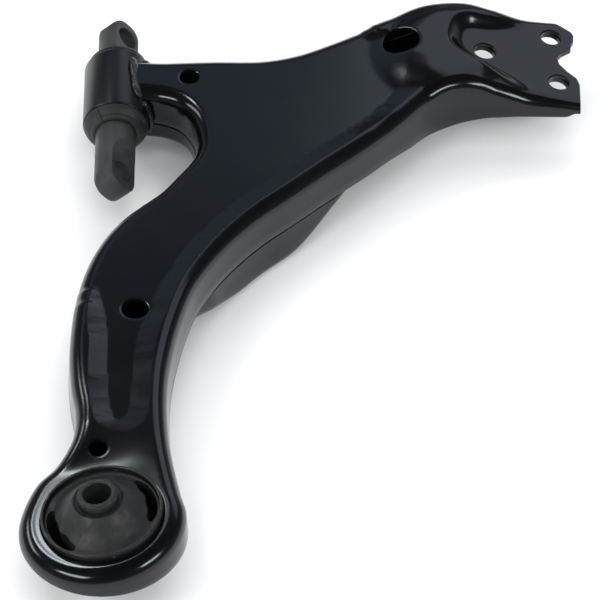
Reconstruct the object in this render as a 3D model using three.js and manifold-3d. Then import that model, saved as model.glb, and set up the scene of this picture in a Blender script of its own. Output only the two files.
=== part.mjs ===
// Stamped steel lower control arm: two pressed shells welded edge to edge, a tube that
// carries the front bush on a horizontal pin, and an eye that carries the rear bush.
// Millimetres, +Z up. The arm is drawn about the centre of the front bush: +X points
// outboard to the ball joint seat, -Y points to the rear bush.
import * as THREE from 'three';
import { mergeVertices } from 'three/addons/utils/BufferGeometryUtils.js';
import Module from 'manifold-3d';

const wasm = await Module();
wasm.setup();
const { smoothstep, lerp, degToRad } = THREE.MathUtils;

// ---- Driving dimensions -----------------------------------------------------------

const SHEET = 3; // thickness of both pressings
const GAP = 0.3; // clearance left between pieces that touch
const FOLD = 9; // outside radius of the fold between web and skirt
const DRAFT = Math.tan(degToRad(3)); // outward lean of the skirts

const WEB_TOP = 18; // flat of the web
const RIM_TOP = 21; // raised rim round the sunk panel
const DOME_TOP = 24.5; // swelling round the large hole
const PANEL_WALL = 6; // width of the slope round the sunk panel
const POCKET_WALL = 9; // width of the slope round the ball joint pocket
const PLATE_TILT = Math.tan(degToRad(10)); // fall of the ball joint seat, outboard
const PLATE_AT = new THREE.Vector3(228.4, 29.2, 14); // ball joint hole nearest the web
const SKIRT_BOTTOM = -5.5;
const TIP_SET_BACK = 5; // the second layer stops short of the tip

const EYE_CENTRE = new THREE.Vector3(0.3, -366.5, 17); // on the eye's top face
const EYE_TILT = degToRad(-8); // rear bush axis leans inboard
const EYE_RADIUS = 48.6;
const EYE_SKIRT_BOTTOM = 1.5;

const TUBE_RADIUS = 20.5;
const TUBE_BORE = 17;
const TUBE_HALF = 24.5;

const SLEEVE_WALL = 1.6;
const FLANGE_RADIUS = 18.7;
const FLANGE_THICK = 3.8;
const FLANGE_START = TUBE_HALF + 1.4;

const PIN_RADIUS = 12.5;
const PADDLE_THICK = 15;
const PADDLE_ANGLE = degToRad(42); // how far the flats' normal is raised from +X
const PIN_HOLE_RADIUS = 7.5;
const NEAR_HOLE_Y = -69.5;
const FAR_HOLE_Y = 50.5;
const FLAT_RUN = 17; // flat length inboard of each bolt hole

const REAR_SHELL_RADIUS = 35.5;
const REAR_SHELL_WALL = 1.6;
const REAR_SHELL_TOP = 4.5; // heights below are measured from the eye's top face
const REAR_SHELL_BOTTOM = -30;
const COLLAR_WALL = 3.2;
const COLLAR_BOTTOM = -22;
const REAR_SLEEVE_RADIUS = 11.6;
const REAR_SLEEVE_BORE = 8.2;
const REAR_SLEEVE_TOP = 19.5;
const REAR_SLEEVE_BOTTOM = -34;

const WEB_HOLE = { x: 45.2, y: 1.1, radius: 6 };
const MIDDLE_HOLE = { x: 15.4, y: -200.2, radius: 8 };
const EYE_HOLE = { x: -3.9, y: -314, radius: 5.6 };
const LARGE_HOLE = { x: 176.3, y: 29.7, radius: 11.4 };
const BALL_JOINT_HOLES = [
  { x: PLATE_AT.x, y: PLATE_AT.y, radius: 6.8 },
  { x: 270.2, y: 49.4, radius: 6.35 },
  { x: 274.1, y: 9.4, radius: 6.35 },
];

// ---- Outlines, seen from above ----------------------------------------------------

function arcPoints(centre, radius, fromDeg, toDeg, steps) {
  return Array.from({ length: steps + 1 }, (_, i) => {
    const angle = degToRad(lerp(fromDeg, toDeg, i / steps));
    return [centre.x + radius * Math.cos(angle), centre.y + radius * Math.sin(angle)];
  });
}

function smoothLoop(points, count) {
  const knots = points.map(([x, y]) => new THREE.Vector3(x, y, 0));
  const curve = new THREE.CatmullRomCurve3(knots, true, 'centripetal');
  const spaced = curve.getSpacedPoints(count).slice(0, count);
  return spaced.map((point) => new THREE.Vector2(point.x, point.y));
}

// Skirt line of the upper pressing, anticlockwise from the rear eye.
const ARM_OUTLINE = [
  ...arcPoints(EYE_CENTRE, EYE_RADIUS, 170, 382, 12),
  [39.3, -318], [36.2, -295], [35.2, -270], [36.1, -250], [39.5, -225], [44.6, -201],
  [51.3, -179.5], [62, -159], [74, -141], [90, -122], [109, -104], [132, -82], [155, -61],
  [178, -37], [194, -19], [208, -11.5], [225, -9.5], [245, -10.5], [270, -11], [294, -10],
  [310, 8], [314, 28], [308, 52], [292, 66], [270, 66], [250, 66.5], [232, 67.5],
  [218, 69], [204, 68.5], [188, 65.5], [170, 56.5], [151, 46.2], [131, 35], [111, 25.2],
  [90, 20], [60, 19.6], [30, 18.4], [0, 17.5], [-7, 3], [0, -12.5], [16, -13.5],
  [29, -15.5], [40, -21.5], [47, -32], [50.6, -46], [50.8, -58], [47, -69], [38, -83],
  [29, -96], [17.3, -107.8], [7.5, -118], [-0.5, -129], [-8, -143], [-13.8, -158.5],
  [-18.2, -176.5], [-21.3, -200], [-22.8, -235], [-21.2, -260], [-18, -284],
  [-19, -302], [-28, -320], [-39.5, -333.5],
];

// Foot of the slope round the panel that is sunk into the web and the leg.
const PANEL_OUTLINE = [
  [186, -8], [176, -24], [162, -42], [132, -68], [109, -90], [87, -110], [72, -127],
  [57, -149], [46, -169], [34, -197], [27, -222], [24, -248], [23, -276], [20, -293],
  [9, -300.5], [-2, -295], [-7, -276], [-8.5, -250], [-9, -222], [-14, -190], [-22, -165],
  [-26, -130], [0, -90], [24, -60], [10, -30], [-10, 0], [10, 40], [100, 40], [150, 44],
  [188, 28],
];

// Brow of the pocket that seats the ball joint; it runs out past the tip.
const POCKET_OUTLINE = [
  [205.5, 40], [205, 32], [210, 22], [220, 13.5], [235, 5], [255, -6], [285, -20],
  [330, -20], [330, 80], [285, 76], [258, 66], [245, 60], [232, 57.5], [219, 57],
  [209, 51],
];

// Trim across the tip, with the bay that clears the ball joint's housing.
const TIP_TRIM = [
  [287.2, -40], [287.2, 9], [285.5, 14.5], [279.5, 20], [275, 25.5], [273.6, 31],
  [276.5, 35.5], [282.4, 40.5], [282.8, 45], [284.4, 48.5], [284.6, 53.5], [283, 56.5],
  [268, 67], [258, 74], [340, 110], [340, -40],
];

const OUTLINE_STEPS = 84;
const WEB_CELL = 11; // grid spacing of the two pressings
const PAN_CELL = 20;
const outline = smoothLoop(ARM_OUTLINE, OUTLINE_STEPS);
const panelLoop = smoothLoop(PANEL_OUTLINE, 90);
const pocketLoop = smoothLoop(POCKET_OUTLINE, 60);

// Distance from a point to a closed loop, positive inside it.
function depthInside(loop, x, y) {
  let nearest = Infinity;
  let inside = false;
  for (let i = 0; i < loop.length; i += 1) {
    const a = loop[i];
    const b = loop[(i + 1) % loop.length];
    const along = ((x - a.x) * (b.x - a.x) + (y - a.y) * (b.y - a.y)) / a.distanceToSquared(b);
    const t = THREE.MathUtils.clamp(along, 0, 1);
    nearest = Math.min(nearest, Math.hypot(x - lerp(a.x, b.x, t), y - lerp(a.y, b.y, t)));
    const crosses = a.y > y !== b.y > y;
    if (crosses && x < a.x + ((y - a.y) * (b.x - a.x)) / (b.y - a.y)) inside = !inside;
  }
  return inside ? nearest : -nearest;
}

// ---- Surface heights --------------------------------------------------------------

function plateHeight(x) {
  return PLATE_AT.z - PLATE_TILT * (x - PLATE_AT.x);
}

function eyeBlend(y) {
  return 1 - smoothstep(y, -332, -292);
}

// Top face of the upper pressing.
function topHeight(x, y) {
  const sunk = smoothstep(depthInside(panelLoop, x, y), 0, PANEL_WALL);
  const panel = lerp(RIM_TOP, WEB_TOP, sunk);
  const fromDome = Math.hypot(x - 206, (y - 26) * 0.9);
  const dome = WEB_TOP + (DOME_TOP - WEB_TOP) * (1 - smoothstep(fromDome, 22, 50));
  const web = Math.max(panel, dome);
  const brow = lerp(web, plateHeight(x), smoothstep(x, 214, 262));
  const inPocket = smoothstep(depthInside(pocketLoop, x, y), 0, POCKET_WALL);
  const seat = lerp(brow, plateHeight(x), inPocket);
  const eye = EYE_CENTRE.z - Math.tan(EYE_TILT) * (x - EYE_CENTRE.x);
  return lerp(seat, eye, eyeBlend(y));
}

// Lower edge of the upper pressing's skirt.
function skirtBottom(x, y) {
  const root = SKIRT_BOTTOM - 3 * (1 - smoothstep(Math.abs(x - 205), 0, 40));
  return lerp(lerp(root, -0.8, smoothstep(x, 225, 285)), EYE_SKIRT_BOTTOM, eyeBlend(y));
}

function bellyBlend(x, y) {
  return 1 - smoothstep(Math.hypot(x - 90, y + 119), 16, 74);
}

// Where the lower pressing's wall steps out flush with the upper skirt.
function flushBlend(x, y) {
  const neck = smoothstep(y, -95, -60) * (1 - smoothstep(x, 55, 85));
  return Math.max(neck, Math.sqrt(bellyBlend(x, y)));
}

// Underside of the lower pressing: a pan that swells into a belly under the bend.
function floorHeight(x, y) {
  const pan = lerp(-21.5, -35, bellyBlend(x, y)) + 9 * (1 - smoothstep(y, -260, -150));
  const nested = plateHeight(x) - 2 * SHEET - GAP;
  const seat = lerp(pan, nested, smoothstep(x, 190, 226));
  return lerp(seat, 3, eyeBlend(y));
}

// ---- Solids -----------------------------------------------------------------------

function solid(geometry) {
  const bare = geometry.index ? geometry.toNonIndexed() : geometry.clone();
  bare.deleteAttribute('normal');
  bare.deleteAttribute('uv');
  const merged = mergeVertices(bare, 1e-4);
  return new wasm.Manifold(new wasm.Mesh({
    numProp: 3,
    vertProperties: new Float32Array(merged.attributes.position.array),
    triVerts: new Uint32Array(merged.index.array),
  }));
}

function geometryOf(manifold) {
  const mesh = manifold.getMesh();
  const geometry = new THREE.BufferGeometry();
  geometry.setAttribute('position', new THREE.BufferAttribute(mesh.vertProperties, 3));
  geometry.setIndex(new THREE.BufferAttribute(mesh.triVerts, 1));
  geometry.computeVertexNormals();
  return geometry;
}

function largestPiece(manifold) {
  const pieces = manifold.decompose();
  return pieces.reduce((best, piece) => (piece.volume() > best.volume() ? piece : best));
}

// Cuts a solid back from a neighbour, with a gap on every side.
function clearOf(manifold, neighbour) {
  const nudges = [[0, 0, -GAP], [GAP, 0, 0], [-GAP, GAP, 0], [-GAP, -GAP, 0]];
  return nudges.reduce((left, nudge) => left.subtract(neighbour.translate(nudge)), manifold);
}

// Vertical prism over a loop of Vector2.
function prism(loop, low, high) {
  const geometry = new THREE.ExtrudeGeometry(new THREE.Shape(loop), {
    depth: high - low,
    bevelEnabled: false,
    curveSegments: 1,
  });
  return solid(geometry.translate(0, 0, low));
}

// Body turned about Z from a profile of [radius, height] that closes on itself.
function turned(profile, segments) {
  const points = [...profile, profile[0]].map(([r, z]) => new THREE.Vector2(r, z));
  return new THREE.LatheGeometry(points, segments).rotateX(Math.PI / 2);
}

// A lathe about +Z laid along +Y instead.
function alongY(geometry) {
  return geometry.rotateX(-Math.PI / 2);
}

function drill(hole, tilt = 0, reach = 60) {
  const bit = new THREE.CylinderGeometry(hole.radius, hole.radius, 2 * reach, 28);
  bit.rotateX(Math.PI / 2).rotateY(tilt);
  return solid(bit.translate(hole.x, hole.y, hole.z ?? 0));
}

// Inward unit normals of an anticlockwise loop.
function inwardNormals(loop) {
  return loop.map((_, i) => {
    const before = loop[(i + loop.length - 1) % loop.length];
    const after = loop[(i + 1) % loop.length];
    const along = after.clone().sub(before).normalize();
    return new THREE.Vector2(-along.y, along.x);
  });
}

function insetLoop(loop, distance) {
  const normals = inwardNormals(loop);
  return loop.map((point, i) => point.clone().addScaledVector(normals[i], distance));
}

// Sheet whose top follows a height function over a grid, cut to a loop.
function sheet(height, thickness, loop, cell) {
  const box = new THREE.Box2().setFromPoints(loop).expandByScalar(cell);
  const size = box.getSize(new THREE.Vector2());
  const columns = Math.ceil(size.x / cell);
  const rows = Math.ceil(size.y / cell);
  const grid = new THREE.BoxGeometry(size.x, size.y, thickness, columns, rows, 1);
  const centre = box.getCenter(new THREE.Vector2());
  grid.translate(centre.x, centre.y, -thickness / 2);
  const position = grid.attributes.position;
  for (let i = 0; i < position.count; i += 1) {
    const z = position.getZ(i) + height(position.getX(i), position.getY(i));
    position.setZ(i, z);
  }
  return solid(grid).intersect(prism(loop, -90, 90));
}

// Sweeps a closed section of [inset, z] points round a loop.
function skirt(loop, sectionAt) {
  const normals = inwardNormals(loop);
  const positions = [];
  const sections = loop.map((point, i) => sectionAt(point, normals[i]));
  sections.forEach((section, i) => {
    section.forEach(([inset, z]) => {
      const spot = loop[i].clone().addScaledVector(normals[i], inset);
      positions.push(spot.x, spot.y, z);
    });
  });
  const width = sections[0].length;
  const index = [];
  for (let i = 0; i < loop.length; i += 1) {
    for (let j = 0; j < width; j += 1) {
      const a = i * width + j;
      const b = i * width + ((j + 1) % width);
      const c = ((i + 1) % loop.length) * width + j;
      const d = ((i + 1) % loop.length) * width + ((j + 1) % width);
      index.push(a, b, c, c, b, d);
    }
  }
  const geometry = new THREE.BufferGeometry();
  geometry.setAttribute('position', new THREE.Float32BufferAttribute(positions, 3));
  geometry.setIndex(index);
  return solid(geometry);
}

function foldedSection(point, normal) {
  const at = (inset) => [point.x + normal.x * inset, point.y + normal.y * inset];
  const tongue = FOLD + 5;
  const top = topHeight(...at(FOLD));
  const tongueTop = topHeight(...at(tongue));
  const bottom = Math.min(skirtBottom(point.x, point.y), top - FOLD - 1);
  const lean = DRAFT * (top - FOLD - bottom);
  const arc = (radius, degrees) => {
    const angle = degToRad(degrees);
    const inset = FOLD - radius * Math.sin(angle);
    return [inset, top - FOLD + radius * Math.cos(angle)];
  };
  return [
    [tongue, tongueTop - 0.5],
    arc(FOLD, 0),
    arc(FOLD, 30),
    arc(FOLD, 60),
    arc(FOLD, 90),
    [-lean, bottom],
    [SHEET - lean, bottom],
    arc(FOLD - SHEET, 90),
    arc(FOLD - SHEET, 45),
    arc(FOLD - SHEET, 0),
    [tongue, tongueTop - SHEET + 0.5],
  ];
}

// ---- Pressings --------------------------------------------------------------------

const CUT_RADIUS = TUBE_RADIUS + GAP;
const tubeCut = solid(alongY(new THREE.CylinderGeometry(CUT_RADIUS, CUT_RADIUS, 90, 48)
  .rotateX(Math.PI / 2)));
const tipCut = prism(TIP_TRIM.map(([x, y]) => new THREE.Vector2(x, y)), -60, 60);

function tilted(hole, tilt) {
  return drill({ ...hole, z: topHeight(hole.x, hole.y) }, tilt);
}

function upperShell() {
  const web = sheet(topHeight, SHEET, insetLoop(outline, FOLD - 0.4), WEB_CELL);
  let shell = web.add(skirt(outline, foldedSection)).subtract(tubeCut).subtract(tipCut);
  for (const hole of [WEB_HOLE, MIDDLE_HOLE, EYE_HOLE, LARGE_HOLE]) {
    shell = shell.subtract(drill(hole));
  }
  for (const hole of BALL_JOINT_HOLES) {
    shell = shell.subtract(tilted(hole, Math.atan(PLATE_TILT)));
  }
  const bore = { ...EYE_CENTRE, radius: REAR_SHELL_RADIUS + GAP };
  return largestPiece(shell.subtract(drill(bore, EYE_TILT)));
}

// The lower pressing nests inside the upper skirt and runs on as the second layer of
// the ball joint seat, where its edge stays clear of the upper pressing's fold.
function lowerOutline() {
  const normals = inwardNormals(outline);
  return outline.map((point, i) => {
    const inset = lerp(SHEET + GAP, FOLD + 2, smoothstep(point.x, 196, 222));
    return point.clone().addScaledVector(normals[i], inset);
  });
}

function panSection(point, normal) {
  const { x, y } = point;
  const floor = floorHeight(x, y);
  const seat = smoothstep(x, 196, 222);
  const rim = skirtBottom(x, y);
  const edge = lerp(rim + 8, floor + SHEET, seat);
  const corner = lerp(Math.min(7, (edge - floor) * 0.45), 0.6, seat);
  const flare = -(SHEET - 0.2) * flushBlend(x, y);
  const innerCorner = Math.min(floor + SHEET + corner * 0.6, edge - 0.3);
  const flareLow = THREE.MathUtils.clamp(rim - 4.5, innerCorner + 0.1, edge - 0.2);
  const flareHigh = THREE.MathUtils.clamp(rim - 1, flareLow + 0.05, edge - 0.1);
  const tongue = corner + 6;
  const tongueFloor = floorHeight(x + normal.x * tongue, y + normal.y * tongue);
  return [
    [tongue, tongueFloor + SHEET - 0.6],
    [SHEET + corner * 0.6 + flare, floor + SHEET - 0.2],
    [SHEET + flare, innerCorner],
    [SHEET + flare, flareLow],
    [SHEET, flareHigh],
    [SHEET, edge],
    [0, edge],
    [0, flareHigh],
    [flare, flareLow],
    [flare, floor + corner],
    [corner + flare, floor],
    [tongue, tongueFloor + 0.6],
  ];
}

function lowerShell(upper) {
  const loop = lowerOutline();
  const floorTop = (x, y) => floorHeight(x, y) + SHEET;
  const pan = sheet(floorTop, SHEET, insetLoop(loop, 4), PAN_CELL);
  const setBack = tipCut.translate([-TIP_SET_BACK, 0, 0]);
  let shell = pan.add(skirt(loop, panSection)).subtract(tubeCut).subtract(setBack);
  for (const hole of BALL_JOINT_HOLES) {
    shell = shell.subtract(tilted(hole, Math.atan(PLATE_TILT)));
  }
  const bore = { ...EYE_CENTRE, radius: REAR_SHELL_RADIUS + COLLAR_WALL + 2 * GAP };
  return largestPiece(clearOf(shell.subtract(drill(bore, EYE_TILT)), upper));
}

// ---- Front bush -------------------------------------------------------------------

const SLEEVE_RADIUS = TUBE_BORE - GAP;
const SLEEVE_BORE = SLEEVE_RADIUS - SLEEVE_WALL;
const FLANGE_END = FLANGE_START + FLANGE_THICK;

function tubeGeometry() {
  const chamfer = 0.8;
  return alongY(turned([
    [TUBE_BORE, -TUBE_HALF],
    [TUBE_RADIUS - chamfer, -TUBE_HALF],
    [TUBE_RADIUS, -TUBE_HALF + chamfer],
    [TUBE_RADIUS, TUBE_HALF - chamfer],
    [TUBE_RADIUS - chamfer, TUBE_HALF],
    [TUBE_BORE, TUBE_HALF],
  ], 48));
}

function frontSleeveGeometry() {
  return alongY(turned([
    [SLEEVE_BORE, -TUBE_HALF + 0.5],
    [SLEEVE_RADIUS, -TUBE_HALF + 0.5],
    [SLEEVE_RADIUS, FLANGE_START],
    [FLANGE_RADIUS, FLANGE_START],
    [FLANGE_RADIUS, FLANGE_END],
    [SLEEVE_BORE, FLANGE_END],
  ], 40));
}

// Fills the sleeve and swells out over the tube's near face.
function frontRubberGeometry() {
  const inner = PIN_RADIUS + GAP;
  const outer = SLEEVE_BORE - GAP;
  const face = -TUBE_HALF - GAP;
  return alongY(turned([
    [inner, face - 7.4],
    [inner + 3.4, face - 6],
    [TUBE_RADIUS - 2.2, face - 2.6],
    [TUBE_RADIUS - 1.2, face],
    [outer, face],
    [outer, FLANGE_END - 1],
    [inner, FLANGE_END - 0.4],
  ], 40));
}

// Round bar whose ends are forged flat, rounded about their bolt holes.
function pinSolid() {
  const reach = 100;
  const bar = new THREE.CylinderGeometry(PIN_RADIUS, PIN_RADIUS, 2 * reach, 40);
  const side = new THREE.Shape();
  const round = PIN_RADIUS + 0.4;
  side.absarc(NEAR_HOLE_Y, 0, round, Math.PI / 2, (3 * Math.PI) / 2);
  side.absarc(FAR_HOLE_Y, 0, round, -Math.PI / 2, Math.PI / 2);
  const blank = new THREE.ExtrudeGeometry(side, {
    depth: 40,
    bevelEnabled: false,
    curveSegments: 10,
  });
  const layFlat = (geometry) => geometry.rotateY(Math.PI / 2 - PADDLE_ANGLE);
  layFlat(blank.translate(0, 0, -20).rotateZ(Math.PI / 2));
  let pin = solid(bar).intersect(solid(blank));
  const shaft = FAR_HOLE_Y - NEAR_HOLE_Y - 2 * FLAT_RUN;
  const middle = (FAR_HOLE_Y + NEAR_HOLE_Y) / 2;
  const grind = 10;
  for (const side of [-1, 1]) {
    for (const end of [-1, 1]) {
      const block = new THREE.BoxGeometry(40, 60, grind);
      block.translate(0, middle + end * (shaft / 2 + 30), side * (PADDLE_THICK + grind) / 2);
      pin = pin.subtract(solid(layFlat(block)));
    }
  }
  for (const y of [NEAR_HOLE_Y, FAR_HOLE_Y]) {
    const bit = new THREE.CylinderGeometry(PIN_HOLE_RADIUS, PIN_HOLE_RADIUS, 40, 28);
    pin = pin.subtract(solid(layFlat(bit.rotateX(Math.PI / 2).translate(0, y, 0))));
  }
  return pin;
}

// ---- Rear bush, drawn about the eye's centre with +Z along its own axis -------------

function ringGeometry(inner, outer, bottom, top, segments) {
  return turned([[inner, bottom], [outer, bottom], [outer, top], [inner, top]], segments);
}

function rearOuterGeometry() {
  const outer = REAR_SHELL_RADIUS;
  const inner = outer - REAR_SHELL_WALL;
  return turned([
    [inner, REAR_SHELL_BOTTOM],
    [outer, REAR_SHELL_BOTTOM],
    [outer, REAR_SHELL_TOP - 0.6],
    [outer - 0.6, REAR_SHELL_TOP],
    [inner, REAR_SHELL_TOP],
  ], 56);
}

// Domed block with a crescent void on each side, so the bush is soft one way.
function rearRubberSolid() {
  const inner = REAR_SLEEVE_RADIUS + GAP;
  const outer = REAR_SHELL_RADIUS - REAR_SHELL_WALL - GAP;
  const body = turned([
    [inner, REAR_SHELL_BOTTOM - 1],
    [inner + 6, REAR_SHELL_BOTTOM + 1],
    [outer, REAR_SHELL_BOTTOM + 4],
    [outer, 1.5],
    [29, 2.6],
    [23, 5.2],
    [17, 10],
    [13.5, 11.2],
    [inner, 9.5],
  ], 48);
  const band = { inner: 27.5, outer: 32.4 };
  const start = degToRad(-17);
  const end = degToRad(50);
  const voidShape = new THREE.Shape();
  voidShape.absarc(0, 0, band.outer, start, end, false);
  voidShape.absarc(0, 0, band.inner, end, start, true);
  const crescent = new THREE.ExtrudeGeometry(voidShape, {
    depth: 90,
    bevelEnabled: false,
    curveSegments: 8,
  }).translate(0, 0, -60);
  const opposite = crescent.clone().rotateZ(Math.PI);
  return solid(body).subtract(solid(crescent)).subtract(solid(opposite));
}

// ---- Welds ------------------------------------------------------------------------

function bead(points, radius) {
  const path = new THREE.CatmullRomCurve3(points.map((p) => new THREE.Vector3(...p)));
  const round = new THREE.Shape();
  round.absarc(0, 0, radius, 0, 2 * Math.PI);
  return solid(new THREE.ExtrudeGeometry(round, {
    steps: 18,
    extrudePath: path,
    curveSegments: 4,
    bevelEnabled: false,
  }));
}

function tubeWeld(points, radius) {
  const raw = bead(points, radius).subtract(tubeCut);
  return largestPiece(clearOf(clearOf(raw, upper), lower));
}

// ---- Scene ------------------------------------------------------------------------

const FINISH = {
  paint: { color: 0x15171c, roughness: 0.28, metalness: 0.0 },
  weld: { color: 0x1a1b1f, roughness: 0.45, metalness: 0.0 },
  pin: { color: 0x3a3d43, roughness: 0.5, metalness: 0.6 },
  steel: { color: 0x2a2c30, roughness: 0.45, metalness: 0.4 },
  rubber: { color: 0x26282b, roughness: 0.75, metalness: 0.0 },
};

const arm = new THREE.Group();

function addPiece(name, geometry, finish, parent = arm) {
  const mesh = new THREE.Mesh(geometry, new THREE.MeshStandardMaterial(FINISH[finish]));
  mesh.name = name;
  parent.add(mesh);
}

const upper = upperShell();
const lower = lowerShell(upper);
addPiece('upper_shell', geometryOf(upper), 'paint');
addPiece('lower_shell', geometryOf(lower), 'paint');

addPiece('front_tube', tubeGeometry(), 'paint');
addPiece('front_bush_sleeve', frontSleeveGeometry(), 'steel');
addPiece('front_bush_rubber', frontRubberGeometry(), 'rubber');
addPiece('front_bush_pin', geometryOf(pinSolid()), 'pin');

const TUBE_WELDS = {
  tube_weld_top: [[10, 17, 18.5], [11.5, 6, 18.5], [11.5, -6, 18.5], [15, -14, 15.5]],
  tube_weld_near: [[18.5, -16.6, 11], [21.2, -17, 4], [22, -17.2, -4], [21, -17, -12]],
  tube_weld_far: [[17, 20.4, 13], [20.4, 21.2, 7], [22.2, 21.4, 0], [21.4, 21.4, -8]],
  tube_weld_bottom: [[7, -9, -23], [6.5, 0, -23], [6.5, 7, -23], [7, 13, -23]],
};
for (const [name, points] of Object.entries(TUBE_WELDS)) {
  addPiece(name, geometryOf(tubeWeld(points, 2.8)), 'weld');
}

const rearBush = new THREE.Group();
rearBush.position.copy(EYE_CENTRE);
rearBush.rotation.y = EYE_TILT;
arm.add(rearBush);
const collarInner = REAR_SHELL_RADIUS + GAP;
const collarOuter = collarInner + COLLAR_WALL;
const collarTop = -SHEET - GAP - 1;
addPiece('rear_eye_collar',
  ringGeometry(collarInner, collarOuter, COLLAR_BOTTOM, collarTop, 48), 'paint', rearBush);
addPiece('rear_bush_outer_shell', rearOuterGeometry(), 'steel', rearBush);
addPiece('rear_bush_rubber', geometryOf(rearRubberSolid()), 'rubber', rearBush);
addPiece('rear_bush_inner_sleeve', ringGeometry(REAR_SLEEVE_BORE, REAR_SLEEVE_RADIUS,
  REAR_SLEEVE_BOTTOM, REAR_SLEEVE_TOP, 40), 'steel', rearBush);

// Origin at the middle of the base of the whole arm's box.
arm.updateMatrixWorld(true);
const box = new THREE.Box3().setFromObject(arm, true);
arm.position.set(-(box.min.x + box.max.x) / 2, -(box.min.y + box.max.y) / 2, -box.min.z);

const controlArm = new THREE.Group();
controlArm.add(arm);

export default controlArm;
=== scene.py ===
# Stamped steel lower control arm on a pale floor: gloss black pressings, a front bush on a
# flat-ended pin, and a domed rear bush. Shapes are drawn in millimetres about the centre of
# the front tube (+X outboard, -Y to the rear bush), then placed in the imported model's frame.
import math
import bpy
import bmesh
import numpy as np
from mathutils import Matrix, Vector
from mathutils.geometry import delaunay_2d_cdt


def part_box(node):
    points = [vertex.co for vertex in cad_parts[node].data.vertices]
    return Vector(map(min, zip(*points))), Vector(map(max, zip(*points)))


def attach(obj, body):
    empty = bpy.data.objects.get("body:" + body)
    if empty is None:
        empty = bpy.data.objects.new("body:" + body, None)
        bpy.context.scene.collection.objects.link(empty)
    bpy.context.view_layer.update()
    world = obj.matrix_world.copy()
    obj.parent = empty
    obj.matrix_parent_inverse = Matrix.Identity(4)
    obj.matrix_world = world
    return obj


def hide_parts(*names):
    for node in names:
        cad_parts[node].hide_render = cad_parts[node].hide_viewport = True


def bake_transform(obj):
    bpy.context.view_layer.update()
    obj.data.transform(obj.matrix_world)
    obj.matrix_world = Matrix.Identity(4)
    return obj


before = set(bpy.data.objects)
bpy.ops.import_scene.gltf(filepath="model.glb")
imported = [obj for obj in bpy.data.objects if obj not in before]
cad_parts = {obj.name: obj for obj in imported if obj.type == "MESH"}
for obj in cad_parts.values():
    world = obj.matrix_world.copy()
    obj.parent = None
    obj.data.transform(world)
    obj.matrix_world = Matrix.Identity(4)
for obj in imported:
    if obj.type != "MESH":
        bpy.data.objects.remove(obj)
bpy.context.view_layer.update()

tube_low, tube_high = (np.array(corner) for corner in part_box("front_tube"))
ORIGIN = (tube_low + tube_high) / 2

# ---- Dimensions, mm -------------------------------------------------------------------

SHEET = 3.0
FOLD = 9.0  # outside radius of the fold between web and skirt
TIP_FOLD = 5.0  # the same fold beside the ball joint seat
DRAFT = math.tan(math.radians(3))  # outward lean of the skirts
WEB_TOP = 18.0
RIM_TOP = 21.0
DOME_TOP = 24.5
POCKET_WALL = 9.0
PLATE_TILT = math.tan(math.radians(10))
PLATE_X, PLATE_Z = 228.4, 14.0
SKIRT_BOTTOM = -6.5
EYE = np.array([-0.1, -366.5, 17.0])
EYE_TILT = math.radians(-8)
EYE_RADIUS = 48.6
EYE_SKIRT_BOTTOM = 1.5
TUBE_RADIUS, TUBE_BORE, TUBE_HALF = 20.5, 17.0, 24.5
PIN_RADIUS, PADDLE_THICK, PIN_HOLE_RADIUS = 12.5, 15.0, 7.5
PADDLE_ANGLE = math.radians(42)
NEAR_HOLE_Y, FAR_HOLE_Y, FLAT_RUN = -69.5, 50.5, 17.0
REAR_SHELL_RADIUS, REAR_SHELL_WALL, REAR_SHELL_TOP = 35.5, 1.6, 4.5
REAR_SLEEVE_RADIUS, REAR_SLEEVE_BORE, REAR_SLEEVE_TOP = 11.6, 8.2, 19.5
REAR_SHELL_BOTTOM, REAR_SLEEVE_BOTTOM = -30, -34  # measured from the eye's top face
COLLAR_BOTTOM, COLLAR_TOP = -22, -4.3
NOSE_LENGTH = 9.5  # worn round on each end of the pin
TIP_CORNER = 4.2  # radius of the seat's near lower corner
VIEW_ELEVATION = 45.3
VIEW_PLACE = (113.584, -2705.075, 2556.648)

WEB_HOLES = [(45.2, 1.1, 6.0), (15.4, -200.2, 8.0), (-3.9, -314.0, 5.6), (176.3, 29.7, 11.4)]
BALL_JOINT_HOLES = [(228.4, 29.2, 6.8), (270.2, 49.4, 6.35), (274.1, 9.4, 6.35)]


def arc_points(centre, radius, start, end, steps):
    angles = [math.radians(start + (end - start) * i / steps) for i in range(steps + 1)]
    return [(centre[0] + radius * math.cos(a), centre[1] + radius * math.sin(a)) for a in angles]


# The outline swells past the tip, and TIP_TRIM cuts it back.
ARM_OUTLINE = arc_points(EYE, EYE_RADIUS, 170, 382, 12) + [
    (39.3, -318), (36.6, -295), (35.8, -270), (36.7, -250), (40.1, -225), (45.2, -201),
    (51.7, -179.5), (62, -159), (74, -141), (90, -122), (109, -104), (132, -82), (155, -61),
    (178, -37), (194, -19), (208, -11.5), (225, -9.5), (245, -10.5), (270, -11), (300, -11),
    (322, -7), (337, 8), (342, 27), (337, 46), (322, 61), (298, 66), (270, 66), (250, 66.5),
    (232, 67.5),
    (218, 69), (204, 68.5), (188, 65.5), (170, 56.5), (151, 46.2), (131, 35), (111, 25.2),
    (90, 20), (60, 19.6), (30, 18.4), (0, 17.5), (-7, 3), (0, -12.5), (16, -13.5),
    (29, -15.5), (40, -21.5), (47, -32), (50.6, -46), (50.8, -58), (47, -69), (38, -83),
    (29, -96), (17.3, -107.8), (7.5, -118), (-0.5, -129), (-8, -143), (-13.8, -158.5),
    (-18.2, -176.5), (-21.3, -200), (-22.8, -235), (-21.2, -260), (-18, -284),
    (-19, -302), (-28, -320), (-39.5, -333.5)]
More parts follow.
